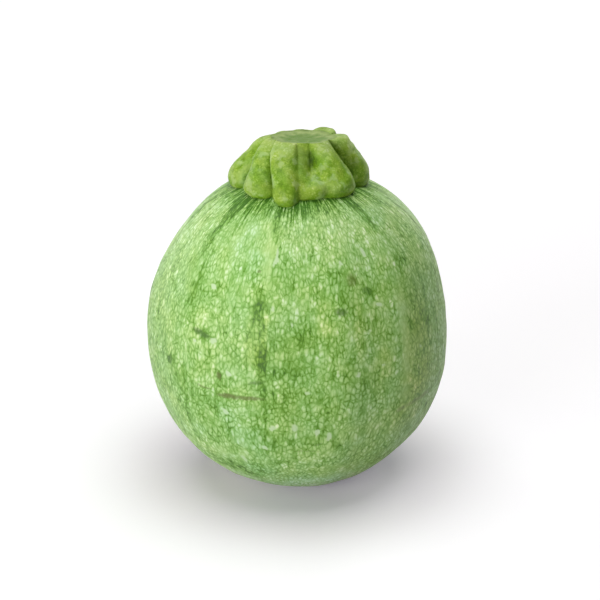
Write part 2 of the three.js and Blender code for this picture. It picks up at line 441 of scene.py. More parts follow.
def mark_field(points, table):
    """How strongly the marks of a table show at each point in millimetres."""
    x, y, z = points.T
    x = x - sway(z)
    azimuth = np.degrees(np.arctan2(x, -y))
    latitude = np.degrees(np.arctan2((z - WIDEST_Z) * GLOBE_RADIUS / CROWN_RISE, np.hypot(x, y)))
    total = np.zeros(len(points))
    for middle, level, half_width, half_length, tilt, strength in table:
        across = angle_between(azimuth, middle) * DEGREE * math.cos(math.radians(level))
        along = (latitude - level) * DEGREE
        turn = math.radians(tilt)
        u = (across * math.cos(turn) + along * math.sin(turn)) / half_width
        v = (along * math.cos(turn) - across * math.sin(turn)) / half_length
        total = np.maximum(total, strength * (1 - smoothstep(MARK_CORE, MARK_EDGE, np.hypot(u, v))))
    return total


def write_marks(made, rings):
    points = np.concatenate([rings[0][:1], *rings, rings[-1][:1]])
    wobble = np.stack([lumps(points, WOBBLE_SIZE, seed) for seed in WOBBLE_SEEDS], axis=-1)
    for name, table in MARKS.items():
        write_attribute(made, name, mark_field(points + MARK_WOBBLE * wobble, table))


# ---------------------------------------------------------------- fruit

def fruit_ring(latitude, azimuth):
    """One ring of the finished fruit: the CAD's profile and ribs, with low lumps."""
    upper = latitude > 0
    power = CROWN_POWER if upper else ROUND_POWER
    t = math.radians(latitude)
    radius = GLOBE_RADIUS * math.cos(t) ** (2 / power) * rib_factor(azimuth)
    rise = abs(math.sin(t)) ** (2 / ROUND_POWER)
    z = WIDEST_Z + (CROWN_RISE if upper else -BELLY_DROP) * rise - (dish(radius) if upper else 0)
    points = place(radius, azimuth, z)
    fade = 1 - smoothstep(*LUMPS_END, latitude)
    points = pushed(points, (0, 0, WIDEST_Z), swelling(points, FRUIT_LUMPS) * fade)
    # The underside is pressed flat, and the scar of the blossom is a shallow cup in it.
    low = points[:, 2]
    flat = 0.5 * (low + np.sqrt(low**2 + REST_ROUNDING**2))
    from_axis = np.hypot(points[:, 0], points[:, 1])
    cup = SCAR_DEPTH * (1 - smoothstep(SCAR_FLOOR * SCAR_RADIUS, SCAR_RADIUS, from_axis))
    points[:, 2] = np.where(latitude < 0, flat + cup, low)
    return points


def make_fruit():
    azimuth = azimuths(FRUIT_COLUMNS)
    latitudes = np.linspace(TOP_LATITUDE, BOTTOM_LATITUDE, FRUIT_ROWS)
    rings = [fruit_ring(latitude, azimuth) for latitude in latitudes]
    made = ring_mesh("fruit_finished", rings[0].mean(axis=0), rings, rings[-1].mean(axis=0))
    write_marks(made, rings)
    return made


# ---------------------------------------------------------------- stem

def stem_section(azimuth, down):
    """Radius, crest (0 in a groove) and lift of the stem's flank, at a share of the way down."""
    spread = GROOVE_EVENNESS * down + (1 - GROOVE_EVENNESS) * down**2
    groove = CUT_RADIUS + (GROOVE_FOOT_RADIUS - CUT_RADIUS) * spread
    rise = np.zeros_like(azimuth)
    crest = np.zeros_like(azimuth)
    lift = np.zeros_like(azimuth)
    flare = math.sin(math.pi / 2 * down)
    turn = flare**RIDGE_TURN
    for top, foot, top_half, foot_half, brow, toe, ridge_lift, late, square in RIDGES:
        half = top_half + (foot_half - top_half) * turn
        middle = top + (foot - top) * turn
        across = abs(angle_between(azimuth, middle)) / half
        power = square + (ROUND_TOE - square) * down**2
        ridge = np.clip(1 - across**power, 0, None) ** RIDGE_FULLNESS
        above = max(brow + (toe - brow) * flare**late - groove, 0)
        rise += (above * ridge) ** RIDGE_UNION
        crest = np.maximum(crest, ridge * min(above / FULL_CREST, 1))
        lift = np.maximum(lift, ridge_lift * ridge)
    return groove + rise ** (1 / RIDGE_UNION), crest, lift


def foot_lip(azimuth):
    """How far the stem's lower edge is rounded."""
    crest = stem_section(azimuth, 1.0)[1]
    return GROOVE_LIP + (TOE_LIP - GROOVE_LIP) * crest


def flank_ring(azimuth, down):
    """Radius, height and offset of the flank, at a share of the way down."""
    radius, _, lift = stem_section(azimuth, down)
    foot_radius = stem_section(azimuth, 1.0)[0]
    rim_z = CUT_Z + CUT_SLOPE * CUT_RADIUS * np.cos(np.radians(azimuth))
    foot_z = crown_height(foot_radius, azimuth) - SINK + foot_lip(azimuth)
    brow = min(down / BROW_DEPTH, 1)
    out = math.sqrt(1 - (1 - brow) ** 2)
    radius = CUT_RADIUS + (radius - CUT_RADIUS) * (RIM_SHARE + (1 - RIM_SHARE) * out)
    z = rim_z + (foot_z - rim_z) * down + lift * math.sin(math.pi * brow)
    return radius, z, CUT_OFFSET * (1 - down)


def lip_ring(azimuth, share):
    """Radius, height and offset of the rounded lower edge, at a share of the way round it."""
    foot_radius, foot_z, offset = flank_ring(azimuth, 1.0)
    lip = foot_lip(azimuth)
    turn = math.pi / 2 * share
    radius = foot_radius - lip * (1 - math.cos(turn))
    seat = crown_height(radius, azimuth) - SINK
    return radius, np.maximum(foot_z - lip * math.sin(turn), seat), offset


def knobbled(points, strength):
    return pushed(points, (0, 0, STEM_HEART_Z), swelling(points, STEM_LUMPS) * strength)


def make_stem():
    """The stem, with how far each point is up a ridge, and how far it is from the rim of the cut."""
    azimuth = azimuths(STEM_COLUMNS)
    rim_radius, rim_z, _ = flank_ring(azimuth, 0.0)
    rings = []
    crests = []
    from_rim = []
    for share in np.linspace(INNERMOST_CUT, OUTERMOST_CUT, CUT_RINGS):
        level = CUT_Z + (rim_z - CUT_Z) * share - CUT_DISH * (1 - share**3)
        rings.append(knobbled(place(rim_radius * share, azimuth, level, CUT_OFFSET), CUT_KNOBBLING))
        crests.append(0 * azimuth)
        from_rim.append((share - 1) * rim_radius)
    for down in np.linspace(0, 1, FLANK_ROWS + 1) ** FLANK_CROWDING:
        radius, z, offset = flank_ring(azimuth, down)
        strength = CUT_KNOBBLING + (1 - CUT_KNOBBLING) * min(down / FULL_KNOBBLING, 1)
        rings.append(knobbled(place(radius, azimuth, z, offset), strength))
        crests.append(stem_section(azimuth, down)[1])
        from_rim.append(down * (rim_z - z.min()) + 0 * azimuth)
    for share in np.linspace(0, 1, LIP_ROWS + 1)[1:]:
        radius, z, offset = lip_ring(azimuth, share)
        rings.append(knobbled(place(radius, azimuth, z, offset), (1 - share) ** 0.5))
        crests.append(crests[-1])
        from_rim.append(from_rim[-1])
    foot_radius = lip_ring(azimuth, 1.0)[0]
    for share in SEAT_SHARES:
        radius = foot_radius * share
        rings.append(place(radius, azimuth, crown_height(radius, azimuth) - SINK))
        crests.append(crests[-1])
        from_rim.append(from_rim[-1])
    made = ring_mesh("stem_finished", rings[0].mean(axis=0), rings, rings[-1].mean(axis=0))
    write_attribute(made, "crest", np.concatenate([[0], *crests, [0]]))
    write_attribute(made, "from_rim", np.concatenate([[-CUT_RADIUS], *from_rim, [CUT_RADIUS]]))
    return made


# ---------------------------------------------------------------- materials

class Nodes:
    """Shorthand for adding to a node tree. Each call returns an output of the node that it adds."""

    def __init__(self, tree):
        self.tree = tree

    def plug(self, socket, value):
        if isinstance(value, bpy.types.NodeSocket):
            self.tree.links.new(value, socket)
        else:
            socket.default_value = value

    def add(self, kind, inputs, output=0, **settings):
        node = self.tree.nodes.new("ShaderNode" + kind)
        for setting, value in settings.items():
            setattr(node, setting, value)
        for key, value in inputs.items():
            self.plug(node.inputs[key], value)
        return node.outputs[output]

    def math(self, operation, *values):
        return self.add("Math", dict(enumerate(values)), operation=operation)

    def plus(self, first, *others):
        for other in others:
            first = self.math("ADD", first, other)
        return first

    def minus(self, first, second):
        return self.math("SUBTRACT", first, second)

    def times(self, first, second):
        return self.math("MULTIPLY", first, second)

    def larger(self, first, second):
        return self.math("MAXIMUM", first, second)

    def centred(self, value, weight):
        """How far a value is above or below 0.5, times that weight."""
        return self.times(self.minus(value, 0.5), weight)

    def ease(self, value, low, high, at_low=0.0, at_high=1.0):
        """A smooth step from at_low to at_high as the value goes from low to high."""
        inputs = {"Value": value, "From Min": low, "From Max": high, "To Min": at_low, "To Max": at_high}
        return self.add("MapRange", inputs, interpolation_type="SMOOTHSTEP", clamp=False)

    def swing(self, value, reach):
        """From -reach to reach as a noise goes through most of its range."""
        return self.ease(value, 0.3, 0.7, -reach, reach)

    def blend(self, share, first, second):
        """The number at that share of the way from the first to the second."""
        return self.add("Mix", {0: share, 2: first, 3: second})

    def mix(self, share, first, second, mode="MIX"):
        """The colour at that share of the way from the first to the second."""
        inputs = {0: share, 6: first, 7: second}
        return self.add("Mix", inputs, 2, data_type="RGBA", blend_type=mode)

    def tinted(self, share, base, tint):
        return self.mix(share, base, tint, "MULTIPLY")

    def sum(self, first, second):
        return self.add("VectorMath", {0: first, 1: second}, operation="ADD")

    def scaled(self, space, scale):
        return self.add("VectorMath", {0: space, "Scale": scale}, operation="SCALE")

    def drawn_out(self, space, share):
        """The space squeezed upwards to that share, so that a pattern in it comes out tall."""
        return self.add("VectorMath", {0: space, 1: (1, 1, share)}, operation="MULTIPLY")

    def length(self, vector):
        return self.add("VectorMath", {0: vector}, "Value", operation="LENGTH")

    def split(self, vector):
        node = self.tree.nodes.new("ShaderNodeSeparateXYZ")
        self.tree.links.new(vector, node.inputs[0])
        return node.outputs

    def join(self, x, y, z):
        return self.add("CombineXYZ", {0: x, 1: y, 2: z})

    def millimetres(self):
        return self.scaled(self.add("TexCoord", {}, "Object"), 1 / MM)

    def read(self, attribute):
        return self.add("Attribute", {}, "Fac", attribute_name=attribute)

    def rays(self):
        return self.tree.nodes.new("ShaderNodeLightPath").outputs

    def noise(self, space, size, detail=2.0, output=0):
        """Noise, from 0 to 1, whose hills are about that size in millimetres."""
        return self.add("TexNoise", {"Vector": space, "Scale": 1 / size, "Detail": detail}, output)

    def warp(self, space, size, reach):
        """The space, pushed about by up to that reach, in hills of that size."""
        push = self.sum(self.noise(space, size, 1.0, "Color"), (-0.5, -0.5, -0.5))
        return self.sum(space, self.scaled(push, 2 * reach))

    def cells(self, space, size, output="Distance", feature="F1"):
        inputs = {"Vector": space, "Scale": 1 / size, "Randomness": 1.0}
        return self.add("TexVoronoi", inputs, output, feature=feature)

    def cell_edge(self, space, size):
        """How far inside its cell a point is, as a share of the size: 0 at the edge."""
        return self.cells(space, size, feature="DISTANCE_TO_EDGE")

    def cell_chance(self, space, size, channel=0):
        """A random number from 0 to 1 for each cell."""
        return self.split(self.cells(space, size, "Color"))[channel]

    def ramp(self, value, tones):
        """The tone for a value, between the tones listed with their values."""
        node = self.tree.nodes.new("ShaderNodeValToRGB")
        elements = node.color_ramp.elements
        for _ in tones[2:]:
            elements.new(0.5)
        for element, (stop, _) in zip(elements, tones):
            element.position = stop
        for element, (_, tint) in zip(elements, tones):
            element.color = tint
        self.plug(node.inputs[0], value)
        return node.outputs[0]

    def finish(self, base, roughness, shine, relief, depth):
        """Plugs in colour, roughness, gloss and a bump of that depth. Returns the shader's inputs."""
        shader = self.tree.nodes["Principled BSDF"].inputs
        bump = self.add("Bump", {"Height": relief, "Distance": depth * MM, "Strength": 1.0})
        self.plug(shader["Base Color"], base)
        self.plug(shader["Roughness"], roughness)
        self.plug(shader["Specular IOR Level"], shine)
        self.plug(shader["Normal"], bump)
        return shader


def new_material(name):
    material = bpy.data.materials.new(name)
    material.use_nodes = True
    return material, Nodes(material.node_tree)


# ---------------------------------------------------------------- skin

# The skin's colours from the darkest threads of its net to the palest spots, at their lightness.
SKIN_TONES = (
    (0.00, (0.045, 0.140, 0.002, 1)),
    (0.25, (0.120, 0.29, 0.020, 1)),
    (0.50, (0.27, 0.50, 0.112, 1)),
    (0.75, (0.49, 0.70, 0.275, 1)),
    (1.00, (0.75, 0.88, 0.58, 1)),
)
SPOT = (0.56, 0.70, 0.45, 1)  # of the white marks
# Teal also stands for painted shade where the stem sits on the skin.
TEAL = (0.045, 0.165, 0.010, 1)  # of the darkest streaks round the stem
BROWN = (0.125, 0.15, 0.035, 1)
NICK_GREEN = (0.050, 0.130, 0.012, 1)
CORK = (0.36, 0.31, 0.14, 1)
# What the colour is multiplied by where it is yellower or bluer, all over and then in marks.
WARM = (1.02, 1.0, 0.92, 1)
COOL = (0.97, 1.0, 1.06, 1)
YELLOWER = (1.10, 1.0, 0.74, 1)
BLUER = (0.92, 1.0, 1.18, 1)

# How much the net is squeezed upwards before it is drawn on the skin, which leaves its cells tall.
NET_SQUEEZE_ABOVE = 0.71
NET_SQUEEZE_BELOW = 0.74
# Below this height it is squeezed by so much more.
BELLY_Z = 28.0
BELLY_SQUEEZE = 0.22
# The skin is unrolled round the fruit by this share near the floor, and wholly higher up.
UNROLL_LEAST = 0.25
UNROLL_START = 10.0
UNROLL_END = 48.0

# The sizes of what the net is made of, and the share to which some of it is squeezed upwards.
CELL_SIZE = 1.2
FINE_CELL_SIZE = 0.75
CRACK_SIZE = 3.2
CRACK_SQUEEZE = 0.7
VEIN_SIZE = 1.7
VEIN_SQUEEZE = 0.16
GRAIN_SIZE = 0.6
# How wide its dark lines are, as shares of a cell or, for the veins, of a noise's height.
THREAD_WIDTH = 0.22
CRACK_WIDTH = 0.09
VEIN_WIDTH = 0.045
# How its lines bend: the size of the bends, and how far they reach.
NET_BENDS = (8.0, 0.9)
NET_JITTER = (1.1, 0.30)
VEIN_BENDS = (3.0, 0.5)
# How light the net is, and how much lighter or darker each thing in it makes it.
NET_LIGHT = 0.51
CELL_LIGHT = 0.20
FINE_CELL_LIGHT = 0.06
GRAIN_LIGHT = 0.28
CHANCE_LIGHT = 0.14
THREAD_DARK = 0.165
CRACK_DARK = 0.12
VEIN_DARK = 0.19

# Pale spots scattered all over.
SPOT_SPACING = 4.4
SPOT_RADII = (0.04, 0.22)  # the smallest and the largest, as shares of the spacing
SPOT_EDGE = (-0.07, 0.03)  # where a spot fades away, from its radius, as shares of the spacing
SPOT_JITTER = (1.2, 0.35)
SPOT_LIGHT = 0.24

# Broad changes of lightness. Each pair of latitudes is where a change starts and ends.
TONE_SIZE = 14.0
TONE_LIGHT = 0.06
SHOULDER_START = (28, 46)
SHOULDER_END = (56, 66)
SHOULDER_LIGHT = 0.06
# The underside is made lighter: painted light, standing for the floor's bounce.
UNDERSIDE = (-50, -35)
UNDERSIDE_PAINTED_BOUNCE = 0.22
CLUSTER_SIZE = 1.9
CLUSTER_SQUEEZE = 0.6
CLUSTER_LIGHT = 0.085
STREAK_SIZE = 0.9
STREAK_SQUEEZE = 0.10
STREAKED = (25, 55)
STREAK_LIGHT = (0.15, 0.58)  # below those latitudes, and above them

# How the marks change the lightness.
PALE_LIGHT = 0.74  # what a pale mark goes towards
PALE_SHARE = 0.65
WHITE_LIGHT = 0.82  # what a white mark goes towards
WHITE_SHARP = (0.10, 0.60)  # strengths between which a white mark goes from nothing to all it has
WHITE_TINT = 0.6
DARK_SHADE = 0.32
STROKE_SIZE = 1.1  # of the short strokes that a dark mark is broken into
STROKE_SQUEEZE = 0.5
STROKE_STRENGTH = (1.2, 0.65)  # in a stroke, and between two
RAGGED_SIZE = 0.8  # of the small dents in the marks' edges
RAGGED_REACH = 0.8

# How the finer marks bend, and how strong they are.
BROWN_BENDS = (3.0, 0.6)
BROWN_JITTER = (0.8, 0.35)
BROWN_SHARE = 0.8
NICK_JITTER = (1.2, 0.5)
NICK_SHARE = (0.6, 1.0)  # where the noise of the ragged edges is low, and where it is high

# Round the stem the skin is darkest, in streaks that reach out unevenly: partly the skin's own streaks,
# partly painted shade where the stem sits on the skin.
CROWN = (54, 66)
CROWN_REACH = 26.0  # degrees by which the streaks' reach varies
CROWN_REACH_SIZE = 5.0  # round the fruit, from one far reach to the next
CROWN_LINE = 1.0  # width of its lines
CROWN_SQUEEZE = 0.14
CROWN_SHADE = 0.60
TEAL_SHARE = 0.50

# The corky scar underneath: how far from the axis it ends, how high, and how strong it is.
CORK_EDGE = (1.8, 4.2)
CORK_TOP = (3.0, 6.0)
CORK_SHARE = 0.75

SKIN_ROUGHNESS = (0.42, 0.52)
SKIN_SHINE = (0.33, 0.12)  # low on the fruit, and round the stem
SKIN_DEPTH = 0.10  # of the net's relief
BLOOM = 0.06  # the thin wax that whitens the skin where it turns away
BLOOM_ROUGHNESS = 0.5


def surface_chart(nodes, x, y, z, radius):
    """A vector of azimuth and latitude, in degrees."""
    azimuth = nodes.math("ARCTAN2", x, nodes.times(y, -1.0))
    rise = nodes.times(nodes.minus(z, WIDEST_Z), GLOBE_RADIUS / CROWN_RISE)
    latitude = nodes.math("ARCTAN2", rise, radius)
    return nodes.scaled(nodes.join(azimuth, latitude, 0.0), math.degrees(1))


def mark(nodes, chart, azimuth, latitude, half_width, half_length, tilt, strength):
    """A soft oval on the skin, as strong as that in its middle."""
    inputs = {
        "Vector": chart,
        "Location": (azimuth, latitude, 0),
        "Rotation": (0, 0, math.radians(tilt)),
        "Scale": (half_width / (DEGREE * math.cos(math.radians(latitude))), half_length / DEGREE, 1),
    }
    across = nodes.length(nodes.add("Mapping", inputs, vector_type="TEXTURE"))
    return nodes.ease(across, MARK_CORE, FINE_MARK_EDGE, strength, 0.0)


def marks(nodes, chart, table):
    total = 0.0
    for row in table:
        total = nodes.larger(total, mark(nodes, chart, *row))
    return total


def unrolled(nodes, place_mm, radius, latitude):
    """The skin as if unrolled from a cylinder, so that its net is as dense by the stem as lower down."""
    x, y, z = nodes.split(place_mm)
    unroll = nodes.ease(z, UNROLL_START, UNROLL_END, UNROLL_LEAST, 1.0)
    shortfall = nodes.minus(GLOBE_RADIUS, radius)
    spread = nodes.plus(nodes.math("DIVIDE", nodes.times(shortfall, unroll), radius), 1.0)
    # Upwards the net follows the curve of the skin, and downwards its height, which draws it out.
    rise = nodes.times(nodes.larger(latitude, 0.0), CROWN_RISE * math.radians(NET_SQUEEZE_ABOVE))
    drop = nodes.times(nodes.math("MINIMUM", nodes.minus(z, WIDEST_Z), 0.0), NET_SQUEEZE_BELOW)
    below = nodes.larger(nodes.minus(BELLY_Z, z), 0.0)
    height = nodes.plus(rise, drop, nodes.times(below, BELLY_SQUEEZE))
    return nodes.join(nodes.times(x, spread), nodes.times(y, spread), height)


def net_light(nodes, flat, place_mm):
    """How light the skin's net is: pale cells between dark threads, cracks and long veins."""
    net = nodes.warp(nodes.warp(flat, *NET_BENDS), *NET_JITTER)
    edge = nodes.cell_edge(net, CELL_SIZE)
    chance = nodes.cell_chance(net, CELL_SIZE)
    fine_edge = nodes.cell_edge(nodes.sum(net, (7.0, 3.0, 5.0)), FINE_CELL_SIZE)
    crack_edge = nodes.cell_edge(nodes.drawn_out(net, CRACK_SQUEEZE), CRACK_SIZE)
    grain = nodes.noise(flat, GRAIN_SIZE, 3.0)
    # The threads fade in and out, and so do the veins.
    vigour = nodes.ease(nodes.noise(place_mm, 3.2), 0.35, 0.65, 0.3, 1.0)
    thread = nodes.times(nodes.ease(edge, 0.0, THREAD_WIDTH, 1.0, 0.0), vigour)
    crack = nodes.times(nodes.ease(crack_edge, 0.0, CRACK_WIDTH, 1.0, 0.0), vigour)
    # The veins are the level lines of a noise drawn out upwards.
    hills = nodes.noise(nodes.drawn_out(nodes.warp(flat, *VEIN_BENDS), VEIN_SQUEEZE), VEIN_SIZE, 1.0)
    vein = nodes.ease(nodes.math("ABSOLUTE", nodes.minus(hills, 0.5)), 0.0, VEIN_WIDTH, 1.0, 0.0)
    vein = nodes.times(vein, nodes.ease(nodes.noise(place_mm, 5.0), 0.30, 0.60))
    return nodes.plus(
        NET_LIGHT,
        nodes.times(nodes.ease(edge, 0.0, 0.4), CELL_LIGHT),
        nodes.times(nodes.ease(fine_edge, 0.0, 0.35), FINE_CELL_LIGHT),
        nodes.centred(grain, GRAIN_LIGHT),
        nodes.times(nodes.minus(chance, 0.3), CHANCE_LIGHT),
        nodes.times(thread, -THREAD_DARK),
        nodes.times(crack, -CRACK_DARK),
        nodes.times(vein, -VEIN_DARK),
    )


def pale_spots(nodes, flat):
    """1 in the larger pale spots scattered over the skin."""
    space = nodes.warp(flat, *SPOT_JITTER)
    distance = nodes.cells(space, SPOT_SPACING)
    chance = nodes.cell_chance(space, SPOT_SPACING, 1)
    radius = nodes.ease(chance, 0.15, 1.0, *SPOT_RADII)
    return nodes.ease(nodes.minus(distance, radius), *SPOT_EDGE, 1.0, 0.0)


def broad_light(nodes, flat, place_mm, latitude):
    """How much lighter the skin is by area, in clusters of cells, in streaks down from the stem, and on
    the underside, where painted light stands for the floor's bounce.
    """
    tone = nodes.noise(place_mm, TONE_SIZE, 3.0)
    shoulder = nodes.ease(latitude, *SHOULDER_START)
    cluster = nodes.noise(nodes.drawn_out(flat, CLUSTER_SQUEEZE), CLUSTER_SIZE)
    streak = nodes.noise(nodes.drawn_out(flat, STREAK_SQUEEZE), STREAK_SIZE)
    return nodes.plus(
        nodes.swing(tone, TONE_LIGHT),
        nodes.times(shoulder, nodes.ease(latitude, *SHOULDER_END, SHOULDER_LIGHT, 0.0)),
        # painted light from the floor on the underside
        nodes.ease(latitude, *UNDERSIDE, UNDERSIDE_PAINTED_BOUNCE, 0.0),
        nodes.swing(cluster, CLUSTER_LIGHT),
        nodes.centred(streak, nodes.ease(latitude, *STREAKED, *STREAK_LIGHT)),
    )


def marked_light(nodes, flat, light, white):
    """The lightness, changed where the marks are."""
    pale = nodes.times(nodes.read("pale"), PALE_SHARE)
    light = nodes.plus(light, nodes.times(nodes.minus(PALE_LIGHT, light), pale))
    light = nodes.plus(light, nodes.times(nodes.minus(WHITE_LIGHT, light), white))
    # The dark marks are broken into short strokes.
    strokes = nodes.noise(nodes.drawn_out(flat, STROKE_SQUEEZE), STROKE_SIZE)
    dark = nodes.times(nodes.read("dark"), nodes.ease(strokes, 0.36, 0.6, *STROKE_STRENGTH))
    return nodes.minus(light, nodes.times(dark, DARK_SHADE))


def crown_streaks_and_shade(nodes, flat, latitude):
    """How close to the stem the skin is, from 0 to 1, and how much darker its streaks there make it,
    partly as painted shade.
    """
    reach = nodes.centred(nodes.noise(nodes.drawn_out(flat, 0), CROWN_REACH_SIZE), CROWN_REACH)
    close = nodes.ease(nodes.plus(latitude, reach), *CROWN)
    line = nodes.noise(nodes.drawn_out(flat, CROWN_SQUEEZE), CROWN_LINE)
    shade = nodes.ease(line, 0.36, 0.62, CROWN_SHADE, 0.0)
    return close, nodes.times(shade, close)


def skin_colour(nodes, place_mm, light):
    """The colour at that lightness, yellower in some areas and bluer in others."""
    base = nodes.ramp(light, SKIN_TONES)
    hue = nodes.noise(nodes.sum(place_mm, (40.0, 0.0, 0.0)), 8.0, 3.0)
    base = nodes.tinted(1.0, base, nodes.mix(nodes.ease(hue, 0.35, 0.65), COOL, WARM))
    base = nodes.tinted(nodes.read("yellow"), base, YELLOWER)
    # Low on the fruit the bluer marks are painted light from the floor.
    return nodes.tinted(nodes.read("blue"), base, BLUER)


def make_skin():
    material, nodes = new_material("zucchini_skin")
    place_mm = nodes.millimetres()
    x, y, z = nodes.split(place_mm)
    square = nodes.plus(nodes.times(x, x), nodes.times(y, y))
    radius = nodes.larger(nodes.math("SQRT", square), 0.01)
    chart = surface_chart(nodes, x, y, z, radius)
    latitude = nodes.split(chart)[1]
    flat = unrolled(nodes, place_mm, radius, latitude)
    ragged = nodes.centred(nodes.noise(flat, RAGGED_SIZE), RAGGED_REACH)
    white = nodes.read("white")
    white = nodes.ease(nodes.plus(white, nodes.times(white, ragged)), *WHITE_SHARP)

    relief = net_light(nodes, flat, place_mm)
    light = nodes.plus(relief, nodes.times(pale_spots(nodes, flat), SPOT_LIGHT))
    light = nodes.plus(light, broad_light(nodes, flat, place_mm, latitude))
    light = marked_light(nodes, flat, light, white)
    close, shade = crown_streaks_and_shade(nodes, flat, latitude)
    light = nodes.minus(light, shade)

    base = skin_colour(nodes, place_mm, light)
    base = nodes.mix(nodes.times(white, WHITE_TINT), base, SPOT)
    brown = marks(nodes, nodes.warp(nodes.warp(chart, *BROWN_BENDS), *BROWN_JITTER), BROWN_MARKS)
    base = nodes.mix(nodes.times(brown, BROWN_SHARE), base, BROWN)
    nick = marks(nodes, nodes.warp(chart, *NICK_JITTER), NICKS)
    base = nodes.mix(nodes.times(nick, nodes.ease(ragged, -0.2, 0.1, *NICK_SHARE)), base, NICK_GREEN)
    # The blossom left a corky scar in the middle of the underside.
    scar = nodes.ease(nodes.plus(radius, nodes.times(ragged, 3.0)), *CORK_EDGE, CORK_SHARE, 0.0)
    base = nodes.mix(nodes.times(scar, nodes.ease(z, *CORK_TOP, 1.0, 0.0)), base, CORK)
    # Teal in the darkest places round the stem: partly painted shade.
    base = nodes.mix(nodes.times(close, nodes.ease(light, 0.15, 0.50, TEAL_SHARE, 0.0)), base, TEAL)

    roughness = nodes.ease(nodes.noise(place_mm, 2.0), 0.3, 0.7, *SKIN_ROUGHNESS)
    shine = nodes.ease(close, 0.0, 1.0, *SKIN_SHINE)
    shader = nodes.finish(base, roughness, shine, relief, SKIN_DEPTH)
    shader["Sheen Weight"].default_value = BLOOM
    shader["Sheen Roughness"].default_value = BLOOM_ROUGHNESS
    return material


# ---------------------------------------------------------------- rind

# The rind's colours from the darkest grooves to the palest freckles, at their lightness.
STEM_TONES = (
    (0.00, (0.045, 0.105, 0.002, 1)),
    (0.30, (0.155, 0.30, 0.010, 1)),
    (0.60, (0.31, 0.48, 0.058, 1)),
    (1.00, (0.62, 0.75, 0.35, 1)),
)
# Pale wax, which on the ridges is partly a painted highlight.
STEM_WAX_AND_HIGHLIGHT = (0.42, 0.58, 0.21, 1)
OLIVE = (0.115, 0.180, 0.012, 1)
CUT_DARK = (0.165, 0.29, 0.052, 1)
CUT_PALE = (0.41, 0.52, 0.185, 1)
STEM_WARM = (1.05, 1.0, 0.92, 1)
STEM_COOL = (0.95, 1.0, 1.0, 1)

# Where the rind is paler, or more olive: the middle, the reach along each axis, and the strength.
PALE_PATCHES = (
    # On the left lobes, which face the key lamp: partly wax, partly painted light.
    (-14.0, -7.0, 88.5, 5.0, 6.0, 5.0, 0.40),
    (8.0, -15.5, 86.5, 5.0, 4.0, 2.2, 0.30),
    (-7.5, -13.0, 88.0, 2.5, 4.0, 4.0, 0.15),
)
OLIVE_PATCHES = (
    (1.5, -10.0, 91.5, 2.4, 4.0, 5.5, 0.55),
    (15.0, -7.0, 91.0, 2.5, 5.0, 5.0, 0.25),
)
PATCH_CORE = 0.3  # share of a patch's reach within which it is at full strength
PATCH_EDGE = 1.2

# The sizes of the rind's freckles and of its noises, and how much each changes its lightness.
FRECKLE_SIZE = 0.8
FRECKLE_JITTER = (1.5, 0.4)
FRECKLE_LIGHT = 0.22
RIND_GRAIN_SIZE = 0.4
RIND_GRAIN_LIGHT = 0.5
MOTTLE_SIZE = 2.2
MOTTLE_LIGHT = 0.68
BROAD_SIZE = 5.0
BROAD_LIGHT = 0.3
# The grooves are darker than the ridges: partly the rind's own tone, partly painted shade.
RIDGE_LIGHT_GROOVE_SHADE = (0.12, 0.40)  # in a groove, and on a ridge
# A painted highlight in a pale line along the rim of the cut.
RIM_PAINTED_HIGHLIGHT = 0.18
RIM_HIGHLIGHT_WIDTH = 0.9
# The wax and its clouds are partly a painted highlight on the ridges.
RIND_WAX_AND_HIGHLIGHT = (0.1, 0.62)  # the most in a groove, and on a ridge
CLOUD_SIZE = 2.8  # of the wax
CLOUD_JITTER = (1.0, 0.4)

RIND_ROUGHNESS = (0.42, 0.58)
RIND_SHINE = 0.22
RIND_DEPTH = 0.12


def patches(nodes, place_mm, table):
    """Soft balls in space, each as strong as its table says in its middle."""
    total = 0.0
    for x, y, z, reach_x, reach_y, reach_z, strength in table:
        inputs = {"Vector": place_mm, "Location": (x, y, z), "Scale": (reach_x, reach_y, reach_z)}
        away = nodes.length(nodes.add("Mapping", inputs, vector_type="TEXTURE"))
        total = nodes.larger(total, nodes.ease(away, PATCH_CORE, PATCH_EDGE, strength, 0.0))
    return total


def freckles(nodes, place_mm):
    loose = nodes.warp(place_mm, *FRECKLE_JITTER)
    inside = nodes.ease(nodes.cell_edge(loose, FRECKLE_SIZE), 0.0, 0.3)
    return nodes.times(inside, nodes.ease(nodes.cell_chance(loose, FRECKLE_SIZE), 0.2, 1.0))


def dried_flesh(nodes, from_rim, mottle, grain):
    """The colour of the cut, which has dried duller, darker in its middle and, as a painted highlight,
    lighter towards its rim.
    """
    # Lighter towards the rim: a painted highlight on the edge of the cut.
    middle = nodes.ease(from_rim, -5.0, -0.3, -0.1, 0.3)
    light = nodes.plus(nodes.times(mottle, 0.9), nodes.times(grain, 0.4), middle)
    return nodes.mix(nodes.ease(light, 0.53, 1.0), CUT_DARK, CUT_PALE)


